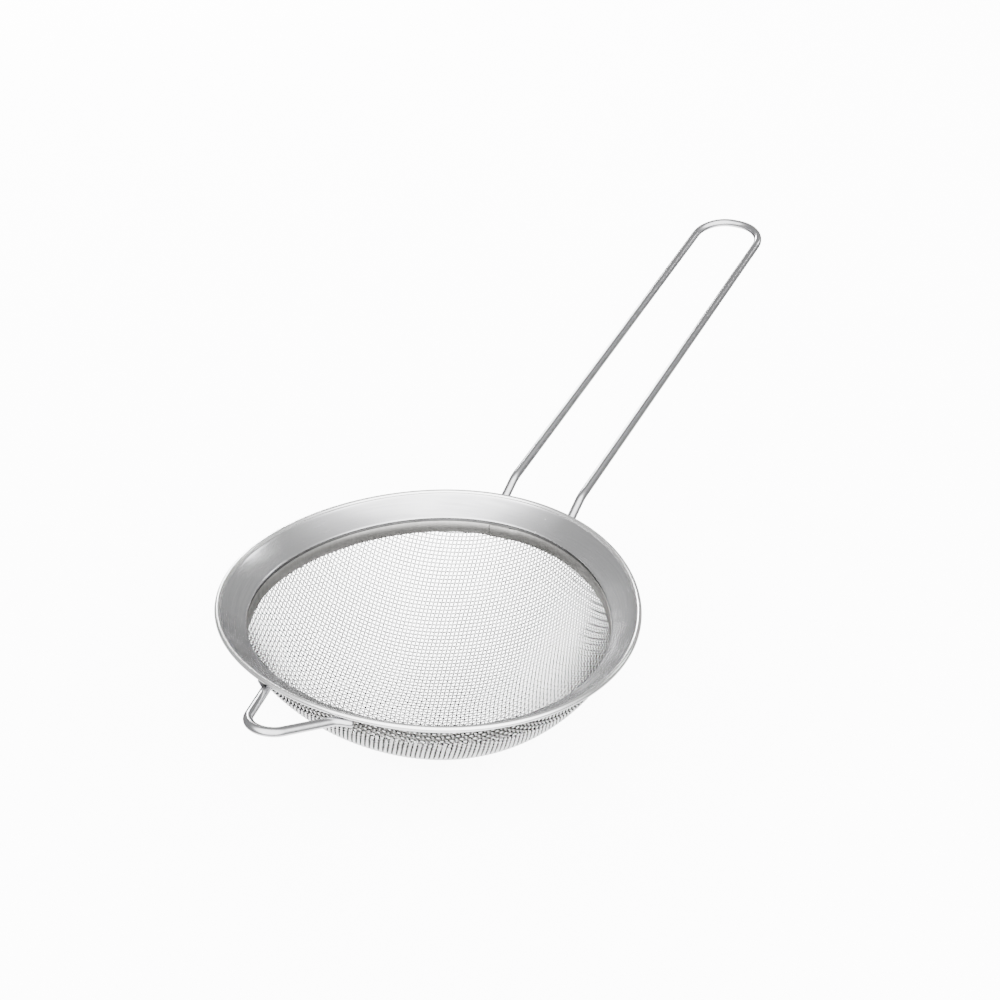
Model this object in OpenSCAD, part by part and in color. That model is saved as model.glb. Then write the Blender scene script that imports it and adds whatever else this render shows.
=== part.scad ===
// Tea strainer: a coned steel rim with a rolled edge, a bowl of woven wire cloth held
// in it by an inner clamp band, a long wire loop handle and a short wire rest opposite.
// Millimetres, +Z up along the bowl's axis, +X along the handle. The origin is the
// centre of the circle that the rolled edge follows.

/* [Rim] */
// outside diameter over the rolled edge
rim_d = 80; // [70:1:90]
// thickness of the rolled edge, seen as a round bead
bead_d = 1.3; // [1.1:0.1:1.6]
// thickness of the rim's sheet steel
sheet_t = 0.5; // [0.4:0.1:0.6]
// diameter of the coned flange's inner edge
throat_d = 69; // [66:0.5:70]
// how far the flange falls from the rolled edge to the throat
flange_drop = 3.6; // [3:0.1:4.5]
// height of the collar turned down outside the cloth
collar_h = 0.7; // [0.5:0.1:1.2]

/* [Bowl] */
// thickness of the woven cloth, two wires thick where they cross
cloth_t = 0.5; // [0.4:0.05:0.6]
// outside radius of the round bowl
bowl_r = 40.3; // [38:0.1:44]
// height of the clamp band's face
band_h = 2.4; // [2:0.1:3]
// thickness of the clamp band
band_t = 0.45; // [0.3:0.05:0.5]
// recess between the flange's edge and the band
band_gap = 0.9; // [0.7:0.1:1.2]

/* [Handle] */
// thickness of the handle's wire
handle_wire_d = 1.8; // [1.6:0.1:2]
// distance between the centres of the two legs
leg_gap = 16; // [14:0.5:20]
// length of the straight legs from the bend to the round end
leg_length = 94.5; // [70:0.5:120]
// rise of the handle above the rim's plane, in degrees
handle_rise = 16.8; // [10:0.2:22]
// slope of the short legs that are welded under the flange, in degrees
tail_slope = 33; // [31:0.5:35]
// how far out from the bowl's axis the legs bend
bend_x = 44.8; // [44:0.1:46]

/* [Rest] */
// thickness of the rest's wire
rest_wire_d = 1.7; // [1.5:0.1:1.8]
// width across the rest's feet, where it leaves the rim
rest_foot_w = 15.6; // [15.2:0.2:17]
// bend radius of the rest's round tip
rest_tip_r = 4.1; // [3.4:0.1:4.2]
// angle between each leg of the rest and straight out
rest_splay = 24.8; // [23:0.2:26]
// rise of the rest above the rim's plane, in degrees
rest_rise = 9.8; // [8:0.2:14]
// how far the rest stands round from straight opposite the handle, in degrees
rest_turn = -4.3; // [-6:0.1:6]

/* [Hidden] */
$fn = 96;
wire_fn = 40;                           // facets round a wire, and along its bends
bead_r = bead_d / 2;
bead_circle = rim_d / 2 - bead_r;       // radius of the circle the bead's centre follows
throat_r = throat_d / 2;
flange_angle = atan2(flange_drop, bead_circle - throat_r);
sheet_drop = sheet_t / cos(flange_angle); // the sheet's thickness measured straight down

band_inset = 0.25;                      // the band stands this far inside the flange's edge
band_in = throat_r - band_inset;
band_out = band_in + band_t;
cloth_out = band_out + cloth_t;
band_top = -flange_drop - band_gap;
band_foot = band_top - band_h;
collar_out = cloth_out + sheet_t;

// Height of the flange's underside at a given radius.
function under_flange(r) =
  (r - throat_r) * tan(flange_angle) - flange_drop - sheet_drop / 2;

cloth_gap = 0.08;                       // air between the cloth's edge and the flange
cloth_top = under_flange(band_out) - cloth_gap;
collar_foot = under_flange(collar_out) - collar_h;
shoulder = 0.02;                        // the cap is this much thicker than the wall
bowl_z = band_foot + sqrt(pow(bowl_r, 2) - pow(cloth_out + shoulder, 2)); // its centre

wire_sides = 20;                        // sides of the swept rest wire
bend_steps = 9;                         // steps round each of its bends
elbow_fill = 0.4;                       // how far a tail runs back into its elbow

leg_y = leg_gap / 2;
handle_turn = tail_slope - handle_rise;
tail_clear = 0.03;                      // air between the wire and the bead
bead_x_at_leg = sqrt(pow(bead_circle, 2) - pow(leg_y, 2));
// The tail passes this far below the bead's centre, square to its own slope.
tail_offset = bead_r + handle_wire_d / 2 + tail_clear;
// Height of the tail's line where the legs bend.
bend_z = (bend_x - bead_x_at_leg) * tan(tail_slope) - tail_offset / cos(tail_slope);
tail_end_x = 36.6;                      // the tail's cut end lies under the flange
tail_length = (bend_x - tail_end_x) / cos(tail_slope);

rest_foot_length = 4.4;                 // length of the feet along the rim
rest_foot_x = bead_circle - 1.1;        // the feet bend just inside the bead's circle
rest_foot_z = -1.65;                    // and just under the bead
rest_foot_angle = 18;                   // they turn this far in, to follow the rim
rest_foot_bend_r = 2.4;
rest_reach = 10.8;                      // how far the tip's corners lie from the feet
// Corners of the rest's path before they are rounded, out from the feet's line.
foot_corner = [0, rest_foot_w / 2];
tip_corner = [-rest_reach, rest_foot_w / 2 - rest_reach * tan(rest_splay)];
foot_end = foot_corner + rest_foot_length * [sin(rest_foot_angle), cos(rest_foot_angle)];
rest_half = concat(
  [foot_end],
  rounded(foot_end, foot_corner, tip_corner, rest_foot_bend_r),
  rounded(foot_corner, tip_corner, [-rest_reach, 0], rest_tip_r)
);
rest_path = concat(rest_half,
  [for (i = [len(rest_half) - 1:-1:0]) [rest_half[i][0], -rest_half[i][1]]]);

weld_d = 2.9;                           // weld beads of the handle
weld_x = 37.7;
weld_z = -2.3;
rest_weld_d = 2.3;                      // weld beads of the rest
rest_weld_y = rest_foot_w / 2 + 2.2;    // out along each foot
rest_weld_r = bead_circle - 0.35;
rest_weld_z = -0.9;

steel = [0.72, 0.72, 0.73];
wire_steel = [0.66, 0.66, 0.67];
cloth_steel = [0.8, 0.8, 0.8];
weld_steel = [0.42, 0.41, 0.4];

rim_flange();
clamp_band();
mesh_basket();
handle_wire();
rest_wire();
handle_weld(1);  // handle_weld_left
handle_weld(-1);  // handle_weld_right
rest_weld(1);  // rest_weld_left
rest_weld(-1);  // rest_weld_right

// Half section of the rim: the bead, the coned sheet and the short collar.
module rim_section() {
  translate([bead_circle, 0]) circle(r = bead_r);
  polygon([
    [throat_r, -flange_drop - sheet_drop / 2],
    [bead_circle, -sheet_drop / 2],
    [bead_circle, sheet_drop / 2],
    [throat_r, -flange_drop + sheet_drop / 2]
  ]);
  polygon([
    [cloth_out, under_flange(cloth_out) + sheet_drop / 2],
    [cloth_out, collar_foot],
    [collar_out, collar_foot],
    [collar_out, under_flange(collar_out) + sheet_drop / 2]
  ]);
}

// The rim: one pressed sheet with its outer edge rolled over.
module rim_flange() color(steel)
  rotate_extrude() rim_section();

// The inner ring that presses the cloth outwards against the collar.
module clamp_band() color(steel)
  rotate_extrude()
    translate([band_in, band_foot]) square([band_t, band_h]);

// The woven cloth as one thin closed bowl: a short upright wall, then a round cap.
// The cap is cut from a round shell by a square that reaches a little past it.
module mesh_basket() color(cloth_steel)
  rotate_extrude() {
    translate([band_out, band_foot]) square([cloth_t, cloth_top - band_foot]);
    intersection() {
      translate([0, bowl_z]) difference() {
        circle(r = bowl_r);
        circle(r = norm([band_out - shoulder, bowl_z - band_foot]));
      }
      translate([0, bowl_z - bowl_r - 1])
        square([cloth_out + 1, band_foot - bowl_z + bowl_r + 1]);
    }
  }

// A straight run of wire along +X; what follows starts at its far end.
module run(d, length) {
  rotate([0, 90, 0]) cylinder(d = d, h = length, $fn = wire_fn);
  translate([length, 0, 0]) children();
}

// A straight run that starts a little way back, so that it fills the elbow it leaves.
module elbow_run(d, length) translate([-elbow_fill, 0, 0]) run(d, length + elbow_fill);

// A bend to the left, about an axis along +Z; what follows starts at its far end.
module bend(d, r, turn) {
  translate([0, r, 0]) {
    rotate([0, 0, -90]) rotate_extrude(angle = turn, $fn = 2 * wire_fn)
      translate([r, 0]) circle(d = d, $fn = wire_fn);
    rotate([0, 0, turn]) translate([0, -r, 0]) children();
  }
}

// The handle: a single wire bent into a long loop, with both tails turned down to
// run under the flange.
module handle_wire() color(wire_steel)
  translate([bend_x, -leg_y, bend_z]) rotate([0, -handle_rise, 0]) {
    run(handle_wire_d, leg_length) bend(handle_wire_d, leg_y, 180) run(handle_wire_d, leg_length);
    for (y = [0, leg_gap]) translate([0, y, 0]) rotate([0, 180 - handle_turn, 0])
      elbow_run(handle_wire_d, tail_length);
  }

// The rest: a short wire bracket with a round tip, both feet turned to follow the rim.
module rest_wire() color(wire_steel)
  rotate([0, 0, rest_turn]) translate([-rest_foot_x, 0, rest_foot_z])
    rotate([0, rest_rise, 0]) flat_wire(rest_wire_d, rest_path);

// A wire of round section swept along a flat path, with square-cut ends.
module flat_wire(d, path) {
  last = len(path) - 1;
  rings = [for (i = [0:last])
    let (along = unit(path[min(i + 1, last)] - path[max(i - 1, 0)]))
    for (k = [0:wire_sides - 1])
      let (out = d / 2 * cos(360 * k / wire_sides))
      [path[i][0] - along[1] * out, path[i][1] + along[0] * out,
       d / 2 * sin(360 * k / wire_sides)]];
  skin = [for (i = [0:last - 1]) for (k = [0:wire_sides - 1])
    let (next = (k + 1) % wire_sides, here = i * wire_sides, there = here + wire_sides)
    [here + k, here + next, there + next, there + k]];
  first_end = [for (k = [wire_sides - 1:-1:0]) k];
  last_end = [for (k = [0:wire_sides - 1]) last * wire_sides + k];
  polyhedron(points = rings, faces = concat([first_end, last_end], skin));
}

function unit(v) = v / norm(v);
function turned(v, a) = [v[0] * cos(a) - v[1] * sin(a), v[0] * sin(a) + v[1] * cos(a)];

// Points round the bend of radius r at corner p, on the way from a to b.
function rounded(a, p, b, r) =
  let (
    back = unit(a - p),
    ahead = unit(b - p),
    half = acos(back * ahead) / 2,
    centre = p + unit(back + ahead) * r / sin(half),
    turn = sign(cross(p - a, b - p)) * (180 - 2 * half)
  )
  [for (i = [0:bend_steps]) centre + turned(p + back * r / tan(half) - centre,
                                            turn * i / bend_steps)];

// A weld bead between one leg's tail and the underside of the flange.
module handle_weld(side) color(weld_steel)
  translate([weld_x, side * leg_y, weld_z]) sphere(d = weld_d, $fn = wire_fn);

// A weld bead between one foot of the rest and the rolled edge.
module rest_weld(side) color(weld_steel)
  rotate([0, 0, 180 + rest_turn - side * atan2(rest_weld_y, rest_foot_x)])
    translate([rest_weld_r, 0, rest_weld_z]) sphere(d = rest_weld_d, $fn = wire_fn);
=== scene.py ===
# A tea strainer: polished coned rim, clamp band, bowl of woven wire cloth, wire loop
# handle and wire rest. Shapes are worked out in millimetres and stored in metres.
import math

import bmesh
import bpy
import numpy as np
from mathutils import Matrix, Vector, noise


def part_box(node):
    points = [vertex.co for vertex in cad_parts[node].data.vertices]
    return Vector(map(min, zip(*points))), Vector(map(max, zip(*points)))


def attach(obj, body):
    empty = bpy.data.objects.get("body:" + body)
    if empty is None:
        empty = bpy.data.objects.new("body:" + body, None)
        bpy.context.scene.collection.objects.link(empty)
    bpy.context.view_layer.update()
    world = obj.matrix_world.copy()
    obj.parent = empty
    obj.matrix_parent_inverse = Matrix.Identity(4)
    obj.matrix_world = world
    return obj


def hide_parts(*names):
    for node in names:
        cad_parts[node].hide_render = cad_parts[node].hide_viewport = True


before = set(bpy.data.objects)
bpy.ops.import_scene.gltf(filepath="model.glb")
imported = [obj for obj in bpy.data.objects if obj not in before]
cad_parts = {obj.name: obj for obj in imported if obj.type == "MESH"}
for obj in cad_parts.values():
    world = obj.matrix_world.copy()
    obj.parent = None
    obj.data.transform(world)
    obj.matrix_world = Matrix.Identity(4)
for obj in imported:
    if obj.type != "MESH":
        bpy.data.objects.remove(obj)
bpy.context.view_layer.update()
mm = 0.001
body = "strainer"
noise.seed_set(11)                         # so that the cloth's wires wander alike each time


def boxMm(node):
    low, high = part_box(node)
    return np.array(low) / mm, np.array(high) / mm


rimLow, rimHigh = boxMm("rim_flange")
bandLow, bandHigh = boxMm("clamp_band")
clothLow, clothHigh = boxMm("mesh_basket")
handleHigh = boxMm("handle_wire")[1]


def newFinish(name):
    finish = bpy.data.materials.new(name)
    finish.use_nodes = True
    tree = finish.node_tree
    tree.nodes.clear()
    output = tree.nodes.new("ShaderNodeOutputMaterial")
    shader = tree.nodes.new("ShaderNodeBsdfPrincipled")
    shader.inputs["Metallic"].default_value = 1.0
    tree.links.new(shader.outputs["BSDF"], output.inputs["Surface"])
    return finish, tree, shader


def feed(tree, target, value):
    # a socket takes either another node's output or a plain number, vector or colour
    if isinstance(value, bpy.types.NodeSocket):
        tree.links.new(value, target)
    else:
        target.default_value = value


def mathNode(tree, operation, a, b=0.0, c=0.0):
    made = tree.nodes.new("ShaderNodeMath")
    made.operation = operation
    for socket, value in zip(made.inputs, (a, b, c)):
        feed(tree, socket, value)
    return made.outputs[0]


def vectorNode(tree, operation, a, b=(0, 0, 0)):
    made = tree.nodes.new("ShaderNodeVectorMath")
    made.operation = operation
    feed(tree, made.inputs[0], a)
    feed(tree, made.inputs[1], b)
    return made.outputs["Value" if operation == "LENGTH" else "Vector"]


def noiseNode(tree, vector, scale, detail=3.0, roughness=0.55):
    made = tree.nodes.new("ShaderNodeTexNoise")
    feed(tree, made.inputs["Vector"], vector)
    feed(tree, made.inputs["Scale"], scale)
    feed(tree, made.inputs["Detail"], detail)
    feed(tree, made.inputs["Roughness"], roughness)
    return made.outputs["Fac"]


def rangeNode(tree, value, fromLow, fromHigh, toLow, toHigh):
    made = tree.nodes.new("ShaderNodeMapRange")
    for socket, number in zip(made.inputs, (value, fromLow, fromHigh, toLow, toHigh)):
        feed(tree, socket, number)
    return made.outputs["Result"]


def blendNode(tree, share, first, second):
    made = tree.nodes.new("ShaderNodeMix")
    made.data_type = "RGBA"
    feed(tree, made.inputs["Factor"], share)
    feed(tree, made.inputs["A"], first)
    feed(tree, made.inputs["B"], second)
    return made.outputs["Result"]


def bumpNode(tree, height, strength, distance):
    made = tree.nodes.new("ShaderNodeBump")
    made.inputs["Strength"].default_value = strength
    made.inputs["Distance"].default_value = distance
    feed(tree, made.inputs["Height"], height)
    return made.outputs["Normal"]


def place(tree):
    return tree.nodes.new("ShaderNodeTexCoord").outputs["Object"]


def roundAxis(tree, around, outward, upward):
    # coordinates that run round the bowl's axis, so that streaks can follow the rim or cross it
    here = place(tree)
    apart = tree.nodes.new("ShaderNodeSeparateXYZ")
    feed(tree, apart.inputs[0], here)
    flat = tree.nodes.new("ShaderNodeCombineXYZ")
    feed(tree, flat.inputs[0], apart.outputs[0])
    feed(tree, flat.inputs[1], apart.outputs[1])
    radius = vectorNode(tree, "LENGTH", flat.outputs[0])
    turn = vectorNode(tree, "NORMALIZE", flat.outputs[0])
    turn = vectorNode(tree, "MULTIPLY", turn, (around, around, 0))
    level = mathNode(tree, "MULTIPLY_ADD", radius, outward,
                     mathNode(tree, "MULTIPLY", apart.outputs[2], upward))
    lift = tree.nodes.new("ShaderNodeCombineXYZ")
    feed(tree, lift.inputs[2], level)
    return vectorNode(tree, "ADD", turn, lift.outputs[0])


# in every finish, sizes are in repeats for each metre and depths are in metres
rimFinish = {
    "clean": (0.66, 0.66, 0.67, 1), "dull": (0.52, 0.52, 0.53, 1), "cloudSize": 70,
    "smooth": 0.14, "rough": 0.3,
    "wipeLay": (3, 2600, 700),             # round the rim, across it and up it
    "wipeStrength": 0.12, "wipeDepth": 0.00002,
    "fleck": (0.95, 0.95, 0.95, 1), "fleckSize": 900, "fleckRough": 0.3,
    "patchSize": 160, "patchShare": (0.66, 0.7),    # flecks come in a few small patches
    # painted highlight: the rolled edge above a set height is coloured near-white, with its own
    # roughness
    "beadHighlight": (0.9, 0.9, 0.9, 1), "highlightAbove": -0.0002, "highlightFade": 0.0001, "highlightRough": 0.22,
}


def polishedRim():
    finish, tree, shader = newFinish("polishedRim")
    wipes = noiseNode(tree, roundAxis(tree, *rimFinish["wipeLay"]), 1.0, 4)
    clouds = noiseNode(tree, place(tree), rimFinish["cloudSize"], 3)
    flecks = tree.nodes.new("ShaderNodeTexVoronoi")
    feed(tree, flecks.inputs["Vector"], place(tree))
    flecks.inputs["Scale"].default_value = rimFinish["fleckSize"]
    fleck = rangeNode(tree, flecks.outputs["Distance"], 0.05, 0.12, 1, 0)
    patches = noiseNode(tree, place(tree), rimFinish["patchSize"], 1)
    speck = mathNode(tree, "MULTIPLY", fleck,
                     rangeNode(tree, patches, *rimFinish["patchShare"], 0, 1))
    tone = rangeNode(tree, mathNode(tree, "MULTIPLY_ADD", wipes, 0.5,
                                    mathNode(tree, "MULTIPLY", clouds, 0.5)), 0.35, 0.65, 0, 1)
    colour = blendNode(tree, tone, rimFinish["dull"], rimFinish["clean"])
    # painted highlight: the rolled edge is coloured near-white, standing in for the bright
    # reflection along it
    level = tree.nodes.new("ShaderNodeSeparateXYZ")
    feed(tree, level.inputs[0], place(tree))
    edge = rimFinish["highlightAbove"]
    beadHighlight = rangeNode(tree, level.outputs[2], edge, edge + rimFinish["highlightFade"], 0, 1)
    colour = blendNode(tree, beadHighlight, colour, rimFinish["beadHighlight"])
    feed(tree, shader.inputs["Base Color"], blendNode(tree, speck, colour, rimFinish["fleck"]))
    gloss = rangeNode(tree, tone, 0, 1, rimFinish["rough"], rimFinish["smooth"])
    gloss = mathNode(tree, "MAXIMUM", gloss,
                     mathNode(tree, "MULTIPLY", beadHighlight, rimFinish["highlightRough"]))
    feed(tree, shader.inputs["Roughness"],
         mathNode(tree, "MULTIPLY_ADD", speck, rimFinish["fleckRough"], gloss))
    feed(tree, shader.inputs["Normal"],
         bumpNode(tree, wipes, rimFinish["wipeStrength"], rimFinish["wipeDepth"]))
    return finish


bandFinish = {
    "light": (0.33, 0.325, 0.315, 1), "dark": (0.26, 0.256, 0.247, 1),
    "smooth": 0.3, "rough": 0.45, "mottleSize": 120,
    "strokeLay": (60, 0, 160), "strokeStrength": 0.5, "strokeDepth": 0.00002,
}


def rolledStrip():
    finish, tree, shader = newFinish("rolledStrip")
    strokes = noiseNode(tree, roundAxis(tree, *bandFinish["strokeLay"]), 1.0, 4, 0.65)
    mottle = noiseNode(tree, place(tree), bandFinish["mottleSize"], 4)
    tone = rangeNode(tree, mathNode(tree, "MULTIPLY_ADD", strokes, 0.6,
                                    mathNode(tree, "MULTIPLY", mottle, 0.4)), 0.36, 0.64, 0, 1)
    feed(tree, shader.inputs["Base Color"],
         blendNode(tree, tone, bandFinish["dark"], bandFinish["light"]))
    feed(tree, shader.inputs["Roughness"],
         rangeNode(tree, tone, 0, 1, bandFinish["rough"], bandFinish["smooth"]))
    feed(tree, shader.inputs["Normal"],
         bumpNode(tree, strokes, bandFinish["strokeStrength"], bandFinish["strokeDepth"]))
    return finish


clothFinish = {
    "bright": (0.9, 0.9, 0.9, 1), "dim": (0.55, 0.55, 0.55, 1), "cloudSize": 90,
    # painted shade: this near-black colour goes on the slopes of each wave, where the wire dives
    # under its crossing wire
    "film": (0.012, 0.012, 0.012, 1),
    "shadeFade": (0.35, 0.9),                 # how far up each wave the painted shade on the slopes ends and bare wire begins
    "smooth": 0.15, "rough": 0.3, "scuffSize": 2400, "scuffStrength": 0.3, "scuffDepth": 0.00001,
}


def wovenWireSteel():
    finish, tree, shader = newFinish("wovenWireSteel")
    scuffs = noiseNode(tree, place(tree), clothFinish["scuffSize"], 3)
    clouds = noiseNode(tree, place(tree), clothFinish["cloudSize"], 3)
    tone = rangeNode(tree, mathNode(tree, "MULTIPLY_ADD", scuffs, 0.5,
                                    mathNode(tree, "MULTIPLY", clouds, 0.5)), 0.38, 0.62, 0, 1)
    # painted shade: the slopes of each wave, where the wire dives under its crossing wire, are
    # coloured near-black, and only the tops of the waves keep the bare steel colour
    crest = tree.nodes.new("ShaderNodeAttribute")
    crest.attribute_name = "crest"
    shadeFade = rangeNode(tree, crest.outputs["Fac"], *clothFinish["shadeFade"], 0, 1)
    bare = blendNode(tree, tone, clothFinish["dim"], clothFinish["bright"])
    feed(tree, shader.inputs["Base Color"], blendNode(tree, shadeFade, clothFinish["film"], bare))
    feed(tree, shader.inputs["Roughness"],
         rangeNode(tree, tone, 0, 1, clothFinish["rough"], clothFinish["smooth"]))
    feed(tree, shader.inputs["Normal"],
         bumpNode(tree, scuffs, clothFinish["scuffStrength"], clothFinish["scuffDepth"]))
    return finish


drawnWireFinish = {
    "bright": (0.54, 0.54, 0.55, 1), "dim": (0.4, 0.4, 0.41, 1),
    "smooth": 0.12, "rough": 0.26, "cloudSize": 110, "lineStrength": 0.3, "lineDepth": 0.00002,
    "handleLay": (60, 2600, 2600), "restLay": (900, 900, 2600),
}


def drawnWire(name, lay):
    # lay stretches the drawing lines along the wire's length
    finish, tree, shader = newFinish(name)
    lines = noiseNode(tree, vectorNode(tree, "MULTIPLY", place(tree), lay), 1.0, 4, 0.6)
    clouds = noiseNode(tree, place(tree), drawnWireFinish["cloudSize"], 3)
    tone = rangeNode(tree, mathNode(tree, "MULTIPLY_ADD", lines, 0.6,
                                    mathNode(tree, "MULTIPLY", clouds, 0.4)), 0.36, 0.64, 0, 1)
    feed(tree, shader.inputs["Base Color"],
         blendNode(tree, tone, drawnWireFinish["dim"], drawnWireFinish["bright"]))
    feed(tree, shader.inputs["Roughness"],
         rangeNode(tree, tone, 0, 1, drawnWireFinish["rough"], drawnWireFinish["smooth"]))
    feed(tree, shader.inputs["Normal"],
         bumpNode(tree, lines, drawnWireFinish["lineStrength"], drawnWireFinish["lineDepth"]))
    return finish


weldFinish = {
    "bare": (0.2, 0.19, 0.18, 1), "burnt": (0.06, 0.05, 0.05, 1),
    "smooth": 0.32, "rough": 0.6, "crustSize": 1100, "crustStrength": 0.6, "crustDepth": 0.0001,
}


def weldBead():
    finish, tree, shader = newFinish("weldBead")
    crust = noiseNode(tree, place(tree), weldFinish["crustSize"], 5, 0.7)
    tone = rangeNode(tree, crust, 0.4, 0.6, 0, 1)
    feed(tree, shader.inputs["Base Color"],
         blendNode(tree, tone, weldFinish["burnt"], weldFinish["bare"]))
    feed(tree, shader.inputs["Roughness"],
         rangeNode(tree, tone, 0, 1, weldFinish["rough"], weldFinish["smooth"]))
    feed(tree, shader.inputs["Normal"],
         bumpNode(tree, crust, weldFinish["crustStrength"], weldFinish["crustDepth"]))
    return finish


# painted shade: a near-black, slightly mottled finish for the ring that stands in for the shade in
# the recess above the band
foldShadeFinish = {
    "light": (0.12, 0.12, 0.12, 1), "dark": (0.04, 0.04, 0.04, 1), "smooth": 0.4, "rough": 0.6,
    "mottleSize": 300, "mottleStrength": 0.4, "mottleDepth": 0.00003,
}


def paintedShadeFold():
    finish, tree, shader = newFinish("paintedShadeFold")
    mottle = noiseNode(tree, place(tree), foldShadeFinish["mottleSize"], 4)
    feed(tree, shader.inputs["Base Color"],
         blendNode(tree, mottle, foldShadeFinish["dark"], foldShadeFinish["light"]))
    feed(tree, shader.inputs["Roughness"],
         rangeNode(tree, mottle, 0, 1, foldShadeFinish["rough"], foldShadeFinish["smooth"]))
    feed(tree, shader.inputs["Normal"],
         bumpNode(tree, mottle, foldShadeFinish["mottleStrength"], foldShadeFinish["mottleDepth"]))
    return finish


foldShadeSteel = paintedShadeFold()
rimSteel = polishedRim()
bandSteel = rolledStrip()
clothSteel = wovenWireSteel()
handleSteel = drawnWire("drawnHandleWire", drawnWireFinish["handleLay"])
restSteel = drawnWire("drawnRestWire", drawnWireFinish["restLay"])
weldSteel = weldBead()
print("finishes made")

# a pressed rim is never quite round: three shallow lobes, one of them near the handle
rimShape = {"lobes": 3, "swell": 0.0219, "towards": 4.3}


def swellAt(angle):
    turned = rimShape["lobes"] * (angle - math.radians(rimShape["towards"]))
    return 1 + rimShape["swell"] * np.cos(turned)


def outOfRound(points):
    points = np.array(points, float)
    grow = swellAt(np.arctan2(points[:, 1], points[:, 0]))
    points[:, :2] *= grow[:, None]
    return points


def aboutAxis(points, degrees):
    turn = math.radians(degrees)
    return points @ np.array([[math.cos(turn), math.sin(turn), 0],
                              [-math.sin(turn), math.cos(turn), 0], [0, 0, 1]])


def hangPiece(name, mesh, finish, standsFor):
    mesh.materials.append(finish)
    piece = bpy.data.objects.new(name, mesh)
    bpy.context.scene.collection.objects.link(piece)
    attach(piece, body)
    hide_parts(standsFor)
    return piece


def makePiece(name, points, faceSets, finish, standsFor):
    mesh = bpy.data.meshes.new(name)
    corners = np.concatenate([faces.ravel() for faces in faceSets]).astype(np.int32)
    sizes = np.concatenate([np.full(len(faces), faces.shape[1]) for faces in faceSets])
    starts = np.concatenate([[0], np.cumsum(sizes)[:-1]]).astype(np.int32)
    mesh.vertices.add(len(points))
    mesh.vertices.foreach_set("co", (np.asarray(points) * mm).astype(np.float32).ravel())
    mesh.loops.add(len(corners))
    mesh.loops.foreach_set("vertex_index", corners)
    mesh.polygons.add(len(sizes))
    mesh.polygons.foreach_set("loop_start", starts)
    mesh.polygons.foreach_set("use_smooth", np.ones(len(sizes), bool))
    mesh.update(calc_edges=True)
    mesh.validate()
    return hangPiece(name, mesh, finish, standsFor)


def ringFaces(rings, sides, first=0):
    ring = first + np.arange(rings - 1)[:, None] * sides
    side = np.arange(sides)[None, :]
    after = (side + 1) % sides
    return np.stack([ring + side, ring + after, ring + sides + after, ring + sides + side],
                    -1).reshape(-1, 4)


def unit(v):
    return v / np.linalg.norm(v, axis=-1, keepdims=True)


def turnProfile(profile, angles, closed=True):
    # a closed outline of (radius, height) carried round the axis
    profile = np.asarray(profile, float)
    ring = np.stack([np.cos(angles)[:, None] * profile[:, 0],
                     np.sin(angles)[:, None] * profile[:, 0],
                     np.ones(len(angles))[:, None] * profile[:, 1]], -1)
    steps, sides = len(angles), len(profile)
    here = np.arange(steps if closed else steps - 1)[:, None]
    there = (here + 1) % steps
    side = np.arange(sides)[None, :]
    after = (side + 1) % sides
    faces = np.stack([here * sides + side, there * sides + side,
                      there * sides + after, here * sides + after], -1).reshape(-1, 4)
    return ring, faces


def roundedPath(corners, radii, step):
    # straight runs between corners, each inner corner turned on its own radius
    corners = [np.array(c, float) for c in corners]
    path = [corners[0]]
    for before, corner, after, radius in zip(corners, corners[1:], corners[2:], radii):
        back, ahead = unit(before - corner), unit(after - corner)
        half = math.acos(np.clip(back @ ahead, -1, 1)) / 2
        reach = radius / math.tan(half)
        centre = corner + unit(back + ahead) * radius / math.sin(half)
        start, end = corner + back * reach - centre, corner + ahead * reach - centre
        turn = math.pi - 2 * half
        count = max(3, int(turn * radius / step))
        for i in range(count + 1):
            share = i / count
            path.append(centre + (math.sin((1 - share) * turn) * start
                                  + math.sin(share * turn) * end) / math.sin(turn))
    path.append(corners[-1])
    return path


def evenPath(path, step):
    path = np.array(path)
    far = np.concatenate([[0], np.cumsum(np.linalg.norm(np.diff(path, axis=0), axis=1))])
    keep = np.concatenate([[True], np.diff(far) > 1e-6])
    path, far = path[keep], far[keep]
    marks = np.linspace(0, far[-1], max(4, int(far[-1] / step)))
    return np.stack([np.interp(marks, far, path[:, k]) for k in range(3)], -1)


def sweepWire(path, radius, sides, endRound=0.35):
    # a round wire along a path, with its cut ends slightly rounded over
    along = unit(np.gradient(path, axis=0))
    side = unit(np.cross(along[0], (0.3, 0.2, 1.0)))   # any direction that no wire starts along
    sideways = [side]
    for t in along[1:]:
        side = unit(side - t * (side @ t))
        sideways.append(side)
    sideways = np.array(sideways)
    upward = np.cross(along, sideways)
    radii = np.full(len(path), radius)
    centres = path.copy()
    radii[[0, -1]] = radius * (1 - endRound)
    far = path[1] - path[0]
    centres[1] = path[0] + unit(far) * radius * endRound
    far = path[-2] - path[-1]
    centres[-2] = path[-1] + unit(far) * radius * endRound
    turn = 2 * np.pi * np.arange(sides) / sides
    rings = (centres[:, None] + radii[:, None, None]
             * (np.cos(turn)[None, :, None] * sideways[:, None]
                + np.sin(turn)[None, :, None] * upward[:, None]))
    last = (len(path) - 1) * sides
    caps = np.stack([np.arange(sides)[::-1], last + np.arange(sides)])
    return rings.reshape(-1, 3), [ringFaces(len(path), sides), caps]


rim = {"sheet": 0.42, "bead": 1.02, "throat": 34.5, "drop": 3.6, "collar": 0.45, "air": 0.14,
       "edge": 0.08, "root": 0.06, "dish": 0.1, "ripple": 0.025, "steps": 720}
beadR = rim["bead"] / 2
beadCircle = rimHigh[0] - beadR
cone = np.array([beadCircle - rim["throat"], rim["drop"]])
coneOut = cone / np.linalg.norm(cone)                    # up the cone, towards the bead
coneUp = np.array([-coneOut[1], coneOut[0]])             # square to it, into the bowl
beadCentre = np.array([beadCircle, 0.0])
throatEnd = np.array([rim["throat"], -rim["drop"]])


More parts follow.
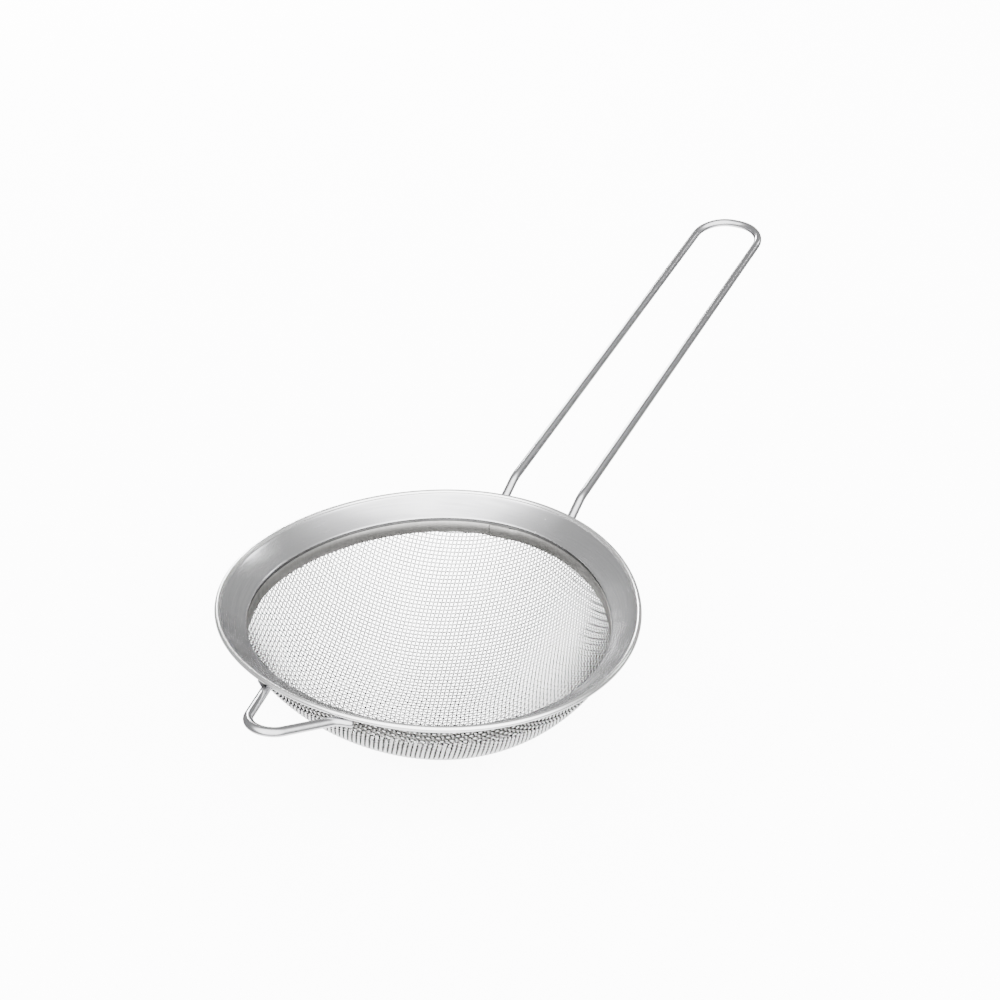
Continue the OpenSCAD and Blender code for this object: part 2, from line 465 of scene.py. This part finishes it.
def rimOutline():
    half = rim["sheet"] / 2
    lipCentre = throatEnd + coneOut * half
    outline = [lipCentre + half * (math.cos(a) * coneUp - math.sin(a) * coneOut)
               for a in np.linspace(0, math.pi, 9)]

    def under(radius):
        # height of the flange's underside
        return (throatEnd[1] + (radius - throatEnd[0]) * coneOut[1] / coneOut[0]
                - half / coneOut[0])

    # the collar outside the cloth, its foot chamfered
    inner, foot = clothHigh[0] + rim["air"], rimLow[2]
    outer, edge, root = inner + rim["collar"], rim["edge"], rim["root"]
    outline += [(inner, under(inner)), (inner, foot + edge), (inner + edge, foot),
                (outer - edge, foot), (outer, foot + edge), (outer, under(outer) - root),
                (outer + root, under(outer + root))]
    # the rolled edge, from the flange's underside round to its top
    meet = math.sqrt(beadR ** 2 - half ** 2)
    first = math.atan2(*(-meet * coneOut - half * coneUp)[::-1])
    last = math.atan2(*(-meet * coneOut + half * coneUp)[::-1])
    last += 2 * math.pi if last < first else 0
    outline += [beadCentre + beadR * np.array([math.cos(a), math.sin(a)])
                for a in np.linspace(first, last, 25)]
    # down the top of the flange, which is dished a little
    top = beadCentre + half * coneUp
    length = np.linalg.norm(cone) - half
    for share in np.linspace(0.13, 0.96, 12):
        sag = rim["dish"] * math.sin(math.pi * share)
        outline.append(top - coneOut * length * share - coneUp * sag)
    return np.array([np.asarray(p, float) for p in outline])


angles = np.linspace(-math.pi, math.pi, rim["steps"], endpoint=False)
rings, rimFaces = turnProfile(rimOutline(), angles)
# faint waves in the sheet, none at the throat or the rolled edge
ripple = np.array([noise.noise(Vector((math.cos(a) * 2.2, math.sin(a) * 2.2, 0.4)))
                   + 0.5 * noise.noise(Vector((math.cos(a) * 7, math.sin(a) * 7, 3.4)))
                   for a in angles])
onCone = np.clip((beadCircle - np.hypot(rings[..., 0], rings[..., 1]))
                 / (beadCircle - rim["throat"]), 0, 1)
rings[..., 2] += rim["ripple"] * ripple[:, None] * np.sin(onCone * math.pi)
makePiece("coned_rim", outOfRound(rings.reshape(-1, 3)), [rimFaces], rimSteel,
          "rim_flange")
print("rim turned")

band = {"strip": 0.3, "edge": 0.09, "crown": 0.05, "raise": 0.3, "seam": 6.0, "lap": 7.0,
        "lapStep": 0.26, "lapRamp": 0.06, "steps": 640}


def clampBand():
    low, high = bandLow[2], bandHigh[2] + band["raise"]
    outer = bandHigh[0]
    inner = outer - band["strip"]
    edge = band["edge"]
    outline = np.array([(outer - edge, low), (outer, low + edge), (outer, high - edge),
                        (outer - edge, high), (inner + edge, high), (inner, high - edge),
                        (inner - band["crown"], (low + high) / 2), (inner, low + edge),
                        (inner + edge, low)])
    seam, lap = math.radians(band["seam"]), math.radians(band["lap"])
    turn = np.linspace(seam, seam + 2 * math.pi + lap, band["steps"])
    rings, faces = turnProfile(outline, turn, closed=False)
    # the last stretch steps inwards and lies over the strip's other end
    ramp = band["lapRamp"]
    past = np.clip((turn - (seam + 2 * math.pi - ramp)) / ramp, 0, 1)
    shrink = 1 - band["lapStep"] / inner * past * past * (3 - 2 * past)
    rings[..., :2] *= shrink[:, None, None]
    sides = len(outline)
    last = (len(turn) - 1) * sides
    caps = np.stack([np.arange(sides), last + np.arange(sides)[::-1]])
    return rings.reshape(-1, 3), [faces, caps]


bandPoints, bandFaces = clampBand()
makePiece("clamp_strip", outOfRound(bandPoints), bandFaces, bandSteel,
          "clamp_band")

# a dark ring in the recess above the band: painted shade, coloured near-black to stand in for the
# shade at the bottom of the recess where the rim's sheet ends in its fold
fold = {"inner": 34.58, "outer": 34.68, "foot": -5.0, "top": -3.72}
foldOutline = [(fold["inner"], fold["foot"]), (fold["outer"], fold["foot"]),
               (fold["outer"], fold["top"]), (fold["inner"], fold["top"])]
foldRings, foldFaces = turnProfile(foldOutline, angles)
makePiece("rim_fold_painted_shade", outOfRound(foldRings.reshape(-1, 3)), [foldFaces], foldShadeSteel,
          "rim_flange")
print("clamp band bent")

# the cloth was pressed a little off its own centre, which is where its wires cross squarely
cloth = {"pitch": 0.847, "wire": 0.28, "centre": (-2.2, 7.9), "warpTurn": 24.0,
         "weftTurn": 118.8, "finePerPitch": 4, "sides": 6, "thickness": 0.5, "outwards": 0.04,
         "drift": 0.06, "driftSize": 0.22, "parts": 3, "reach": 84, "spare": 7.0}
wallR = clothHigh[0] + cloth["outwards"] - cloth["thickness"] / 2
wallFoot = bandLow[2]
outerR = clothHigh[0]
bowlDepth = wallFoot - clothLow[2]
bowlR = (outerR ** 2 + bowlDepth ** 2) / (2 * bowlDepth) - cloth["thickness"] / 2
bowlCentre = np.array([0, 0, clothLow[2] + bowlR + cloth["thickness"] / 2])
clothTop = clothHigh[2]


def ontoBowl(points):
    # nearest place on the cloth's middle, and the outward direction there
    low = (points[..., 2] < wallFoot)[..., None]
    out = unit(np.where(low, points - bowlCentre, points * (1, 1, 0)) + 1e-12)
    base = np.where(low, bowlCentre, points * (0, 0, 1))
    return base + out * np.where(low, bowlR, wallR), out


def straightWire(start, out, turn, count):
    # a wire that bends neither left nor right as it runs over the bowl from the start
    ahead = np.array([math.cos(turn), math.sin(turn), 0.0])
    ahead = unit(ahead - out * (ahead @ out))
    run = [start, ontoBowl(start + ahead * cloth["pitch"])[0]]
    while len(run) <= count and run[-1][2] < clothTop + cloth["spare"]:
        step = ontoBowl(2 * run[-1] - run[-2])[0] - run[-1]
        run.append(ontoBowl(run[-1] + unit(step) * cloth["pitch"])[0])
    return np.array(run)


def layNet():
    # every crossing lies one pitch from its neighbours, as in square cloth pressed into a bowl
    half, pitch = cloth["reach"], cloth["pitch"]
    net = np.full((2 * half + 1, 2 * half + 1, 3), np.nan)
    x, y = cloth["centre"]
    start, out = ontoBowl(np.array([x, y, clothLow[2]]))
    for way in (1, -1):
        flip = 0 if way == 1 else math.pi
        warp = straightWire(start, out, math.radians(cloth["warpTurn"]) + flip, half)
        weft = straightWire(start, out, math.radians(cloth["weftTurn"]) + flip, half)
        net[half + way * np.arange(len(warp)), half] = warp
        net[half, half + way * np.arange(len(weft))] = weft
    for wayA in (1, -1):
        for wayB in (1, -1):
            for total in range(2, 2 * half + 1):
                a = np.arange(max(1, total - half), min(half, total - 1) + 1)
                i, j = half + wayA * a, half + wayB * (total - a)
                left, right = net[i - wayA, j], net[i, j - wayB]
                corner = net[i - wayA, j - wayB]
                fine = np.isfinite(left + right + corner).all(-1)
                if not fine.any():
                    break
                i, j, left, right, corner = (part[fine] for part in (i, j, left, right, corner))
                guess, out = ontoBowl(left + right - corner)
                for _ in range(6):
                    toLeft, toRight = guess - left, guess - right
                    square = np.stack([toLeft, toRight, out], 1)
                    short = np.stack([(pitch ** 2 - (toLeft ** 2).sum(-1)) / 2,
                                      (pitch ** 2 - (toRight ** 2).sum(-1)) / 2,
                                      np.zeros(len(i))], 1)
                    guess, out = ontoBowl(guess + np.linalg.solve(square, short[..., None])[..., 0])
                guess[guess[:, 2] > clothTop + cloth["spare"]] = np.nan
                net[i, j] = guess
    return net


def driftNet(net):
    # wires wander a little from their true lines
    known = np.isfinite(net[..., 0])
    places = net[known]
    wander = np.array([noise.noise_vector(Vector(p * cloth["driftSize"])) for p in places])
    net = net.copy()
    net[known] = ontoBowl(places + wander * cloth["drift"])[0]
    return net


def weaveWire(nodes, over):
    # one wire through its crossings, over and under in turn
    fine = cloth["finePerPitch"]
    count = (len(nodes) - 1) * fine + 1
    at = np.arange(count) / fine
    first = np.minimum(at.astype(int), len(nodes) - 2)
    share = (at - first)[:, None]
    path, out = ontoBowl(nodes[first] * (1 - share) + nodes[first + 1] * share)
    wave = over * np.cos(np.pi * at)
    return path + out * wave[:, None] * cloth["wire"] / 2, out, np.abs(wave)


def tubesOf(lines):
    sides, radius = cloth["sides"], cloth["wire"] / 2
    turn = 2 * np.pi * (np.arange(sides) + 0.5) / sides
    points, quads, caps, crests, first = [], [], [], [], 0
    for path, out, crest in lines:
        along = unit(np.gradient(path, axis=0))
        side = unit(np.cross(out, along))
        up = np.cross(along, side)
        rings = path[:, None] + radius * (np.cos(turn)[None, :, None] * side[:, None]
                                          + np.sin(turn)[None, :, None] * up[:, None])
        points.append(rings.reshape(-1, 3))
        crests.append(np.repeat(crest, sides))
        quads.append(ringFaces(len(path), sides, first))
        last = first + (len(path) - 1) * sides
        caps.append(np.stack([first + np.arange(sides)[::-1], last + np.arange(sides)]))
        first += len(path) * sides
    faceSets = [np.concatenate(quads), np.concatenate(caps)]
    return np.concatenate(points), faceSets, np.concatenate(crests)


def wiresOf(net, start):
    # the wires along the net's first direction, cut off at the cloth's edge
    lines = []
    for j in range(net.shape[1]):
        known = np.flatnonzero(np.isfinite(net[:, j, 0]))
        if len(known) < 3:
            continue
        for run in np.split(known, np.flatnonzero(np.diff(known) > 1) + 1):
            if len(run) < 3:
                continue
            over = start if (run[0] + j) % 2 == 0 else -start
            path, out, crest = weaveWire(net[run, j], over)
            kept = np.flatnonzero(path[:, 2] < clothTop)
            for piece in np.split(kept, np.flatnonzero(np.diff(kept) > 1) + 1):
                if len(piece) >= 4:
                    lines.append((path[piece], out[piece], crest[piece]))
    return lines


def layCloth():
    net = driftNet(layNet())
    # the crossing wires pass under where the first ones pass over
    for way, wires in (("warp", wiresOf(net, 1)), ("weft", wiresOf(np.swapaxes(net, 0, 1), -1))):
        share = np.cumsum([len(path) for path, _, _ in wires])
        part = np.minimum((share - 1) * cloth["parts"] // share[-1], cloth["parts"] - 1)
        for k in range(cloth["parts"]):
            chosen = [wires[i] for i in np.flatnonzero(part == k)]
            points, faces, crests = tubesOf(chosen)
            piece = makePiece(f"cloth_{way}_{k + 1}", outOfRound(points), faces, clothSteel,
                              "mesh_basket")
            # how near each place is to the top or bottom of its wave, which places the painted
            # shade on the wire's slopes
            crest = piece.data.attributes.new("crest", "FLOAT", "POINT")
            crest.data.foreach_set("value", crests.astype(np.float32))
            print("cloth", way, k + 1, "wires", len(chosen), "faces", len(faces[0]))


layCloth()
print("cloth woven")

handle = {"wire": 1.85, "legGap": 16.0, "rise": 16.8, "bendX": 44.8, "bendTurn": 6.0,
          "tailEnd": 37.2, "endTurn": 7.3, "air": 0.03, "sides": 28, "step": 0.8}


def beadAt(y):
    # how far along +X the rolled edge runs at this distance to one side
    x = beadCircle
    for _ in range(8):
        x = math.sqrt((beadCircle * swellAt(math.atan2(y, x))) ** 2 - y * y)
    return x


def handlePath():
    rise = math.radians(handle["rise"])
    leg, radius = handle["legGap"] / 2, handle["wire"] / 2
    endX = handleHigh[0] - radius
    endZ = handleHigh[2] - radius
    bendZ = endZ - (endX - handle["bendX"]) * math.tan(rise)
    corners = []
    for side in (-1, 1):
        # each tail slopes down so that it just clears the underside of the rolled edge
        out = handle["bendX"] - beadAt(side * leg)
        gap = beadR + radius + handle["air"]
        slope = math.atan2(bendZ, out) + math.asin(gap / math.hypot(out, bendZ))
        endOut = handle["bendX"] - handle["tailEnd"]
        tail = (handle["tailEnd"], side * leg, bendZ - endOut * math.tan(slope))
        corners.append([tail, (handle["bendX"], side * leg, bendZ), (endX, side * leg, endZ)])
    corners = corners[0] + corners[1][::-1]
    radii = [handle["bendTurn"], handle["endTurn"], handle["endTurn"], handle["bendTurn"]]
    return evenPath(roundedPath(corners, radii, handle["step"] / 3), handle["step"])


handlePoints, handleFaces = sweepWire(handlePath(), handle["wire"] / 2, handle["sides"])
makePiece("handle_loop", handlePoints, handleFaces, handleSteel, "handle_wire")
print("handle bent")

rest = {"wire": 1.7, "footWidth": 15.6, "tipTurn": 4.1, "splay": 24.8, "rise": 9.8,
        "turn": -4.3, "footX": 37.8, "footZ": -1.7, "footLength": 3.0, "footAngle": 30.0,
        "footTurn": 3.2, "reach": 11.25, "sides": 28, "step": 0.35}


def restPath():
    inward = math.radians(rest["footAngle"])
    foot = np.array([0, rest["footWidth"] / 2, 0])
    end = foot + rest["footLength"] * np.array([math.sin(inward), math.cos(inward), 0])
    tip = np.array([-rest["reach"],
                    foot[1] - rest["reach"] * math.tan(math.radians(rest["splay"])), 0])
    mirror = np.array([1, -1, 1])
    corners = [end, foot, tip, tip * mirror, foot * mirror, end * mirror]
    radii = [rest["footTurn"], rest["tipTurn"], rest["tipTurn"], rest["footTurn"]]
    path = evenPath(roundedPath(corners, radii, rest["step"] / 3), rest["step"])
    rise = math.radians(rest["rise"])
    lifted = path @ np.array([[math.cos(rise), 0, -math.sin(rise)], [0, 1, 0],
                              [math.sin(rise), 0, math.cos(rise)]])
    return aboutAxis(lifted + (-rest["footX"], 0, rest["footZ"]), rest["turn"])


restPoints, restFaces = sweepWire(restPath(), rest["wire"] / 2, rest["sides"])
makePiece("rest_bracket", restPoints, restFaces, restSteel, "rest_wire")
print("rest bent")

# the handle's beads stand at x, +-y, z; the rest's at a radius and height, turned to each side
weld = {"handleAt": (38.3, 8.0, -2.35), "handleSize": (1.5, 1.15, 0.8), "handleLean": 36.0,
        "restAt": (38.324873, -1.75), "restTurn": 14.7, "restSize": (0.6, 1.2, 0.6),
        "lumps": 0.16, "lumpSize": 1.65}


def weldBlob(name, at, size, lean, turn, seed, node):
    shape = bmesh.new()
    bmesh.ops.create_icosphere(shape, subdivisions=5, radius=1)
    for v in shape.verts:
        bumpy = noise.fractal(v.co * weld["lumpSize"] + Vector((seed, 0, 0)), 1.0, 2.0, 3)
        v.co *= 1 + weld["lumps"] * bumpy
    stand = (Matrix.Translation(Vector(at) * mm) @ Matrix.Rotation(math.radians(turn), 4, "Z")
             @ Matrix.Rotation(math.radians(-lean), 4, "Y")
             @ Matrix.Diagonal((*[s * mm for s in size], 1)))
    bmesh.ops.transform(shape, matrix=stand, verts=shape.verts)
    for face in shape.faces:
        face.smooth = True
    mesh = bpy.data.meshes.new(name)
    shape.to_mesh(mesh)
    shape.free()
    hangPiece(name, mesh, weldSteel, node)


for seed, (sideName, side) in enumerate((("left", 1), ("right", -1))):
    x, y, z = weld["handleAt"]
    weldBlob("handle_weld_bead_" + sideName, (x, side * y, z), weld["handleSize"],
             weld["handleLean"], 0, seed, "handle_weld_" + sideName)
    turn = math.radians(180 + rest["turn"] - side * weld["restTurn"])
    radius, z = weld["restAt"]
    radius *= swellAt(turn)
    weldBlob("rest_weld_bead_" + sideName,
             (radius * math.cos(turn), radius * math.sin(turn), z), weld["restSize"], 0,
             math.degrees(turn), seed + 5, "rest_weld_" + sideName)
print("welds set")

view = {"from": (-190.5, -121.36, 151.55), "towards": (37.97, 7.6, 0.0), "roll": 1.44,
        "lens": 51.62, "film": 36.0, "nearest": 10.0}
camera = bpy.data.objects.new("camera", bpy.data.cameras.new("camera"))
bpy.context.scene.collection.objects.link(camera)
camera.location = Vector(view["from"]) * mm
look = (Vector(view["towards"]) - Vector(view["from"])).to_track_quat("-Z", "Y")
camera.rotation_mode = "QUATERNION"
camera.rotation_quaternion = look @ Matrix.Rotation(math.radians(view["roll"]), 3,
                                                    "Z").to_quaternion()
camera.data.lens = view["lens"]
camera.data.sensor_width = view["film"]
camera.data.clip_start = view["nearest"] * mm
bpy.context.scene.camera = camera
print("camera set")

# a light table: white, and lit a little from below, so that shadows on it stay faint
table = {"size": 6000, "squares": 24, "tint": (0.9, 0.9, 0.9, 1), "grain": 30, "grainTone": 0.02,
         "glow": 9.0, "rough": 0.9, "sheen": 0.1}


def paleTable():
    shape = bmesh.new()
    bmesh.ops.create_grid(shape, x_segments=table["squares"], y_segments=table["squares"],
                          size=table["size"] / 2 * mm)
    mesh = bpy.data.meshes.new("table")
    shape.to_mesh(mesh)
    shape.free()
    top = bpy.data.objects.new("table", mesh)
    bpy.context.scene.collection.objects.link(top)
    top.location.z = clothLow[2] * mm
    paint = bpy.data.materials.new("paleTable")
    paint.use_nodes = True
    tree = paint.node_tree
    shader = tree.nodes["Principled BSDF"]
    grain = noiseNode(tree, place(tree), table["grain"], 4)
    shade = [c - table["grainTone"] for c in table["tint"][:3]] + [1]
    feed(tree, shader.inputs["Base Color"], blendNode(tree, grain, shade, table["tint"]))
    shader.inputs["Emission Color"].default_value = table["tint"]
    shader.inputs["Emission Strength"].default_value = table["glow"]
    shader.inputs["Roughness"].default_value = table["rough"]
    shader.inputs["Specular IOR Level"].default_value = table["sheen"]
    mesh.materials.append(paint)
    top.visible_glossy = False  # the steel mirrors the room around it, not the table top


paleTable()
print("table laid")

# each lamp: where it stands, its size in metres, its watts, and whether the steel mirrors it
lamps = {"spot": ((0.74, -0.38, 0.56), (0.14, 0.14), 0.9, True),
         "strip": ((0.61, 0.67, 0.4), (0.14, 0.3), 6.0, True)}
# wide lamps set low round the table light it evenly and leave the bowl's own shade dark
sides = {"lamps": 4, "turn": 30.0, "away": 1.3, "height": 1.0, "size": (1.3, 0.9), "watts": 24}
for way in range(sides["lamps"]):
    turn = math.radians(sides["turn"] + 360 / sides["lamps"] * way)
    at = (sides["away"] * math.cos(turn), sides["away"] * math.sin(turn), sides["height"])
    lamps[f"side{way + 1}"] = (at, sides["size"], sides["watts"], False)


def hangLamp(name, at, size, watts, inSteel):
    lamp = bpy.data.objects.new(name, bpy.data.lights.new(name, "AREA"))
    bpy.context.scene.collection.objects.link(lamp)
    lamp.data.shape = "RECTANGLE"
    lamp.data.size, lamp.data.size_y = size
    lamp.data.energy = watts
    lamp.location = at
    lamp.rotation_mode = "QUATERNION"
    lamp.rotation_quaternion = (-Vector(at)).to_track_quat("-Z", "Y")
    lamp.visible_glossy = inSteel
    lamp.visible_camera = False


for name, settings in lamps.items():
    hangLamp(name, *settings)

# the room: a wide bright wall on one side, falling off to grey and then dark opposite it.
# Each tone is a place between straight away from the wall (0) and straight at it (1), and a level.
room = {"below": (-0.62, -0.9), "belowTone": 0.7, "wall": (-0.7, -0.446, 0.557), "low": -1.0,
        "strength": 8.0, "tones": [(0.0, 0.008), (0.12, 0.03), (0.2, 0.072), (0.5, 0.074),
                                   (0.64, 0.08), (0.76, 0.22), (0.84, 0.9), (1.0, 1.0)]}


def lightRoom():
    world = bpy.data.worlds.new("room")
    bpy.context.scene.world = world
    world.use_nodes = True
    tree = world.node_tree
    tree.nodes.clear()
    way = tree.nodes.new("ShaderNodeTexCoord").outputs["Generated"]
    dot = tree.nodes.new("ShaderNodeVectorMath")
    dot.operation = "DOT_PRODUCT"
    feed(tree, dot.inputs[0], way)
    feed(tree, dot.inputs[1], room["wall"])
    towards = rangeNode(tree, dot.outputs["Value"], room["low"], 1, 0, 1)
    ramp = tree.nodes.new("ShaderNodeValToRGB")
    feed(tree, ramp.inputs[0], towards)
    stops = ramp.color_ramp.elements
    while len(stops) < len(room["tones"]):
        stops.new(0.5)                     # each one is moved to its own place below
    for stop, (at, level) in zip(stops, room["tones"]):
        stop.position = at
        stop.color = (level, level, level, 1)
    # what the underside of the bowl mirrors: the light table right below it
    height = tree.nodes.new("ShaderNodeSeparateXYZ")
    feed(tree, height.inputs[0], way)
    below = rangeNode(tree, height.outputs[2], *room["below"], 0, room["belowTone"])
    back = tree.nodes.new("ShaderNodeBackground")
    feed(tree, back.inputs["Color"], mathNode(tree, "MAXIMUM", ramp.outputs[0], below))
    back.inputs["Strength"].default_value = room["strength"]
    out = tree.nodes.new("ShaderNodeOutputWorld")
    tree.links.new(back.outputs[0], out.inputs["Surface"])


lightRoom()
print("lit")
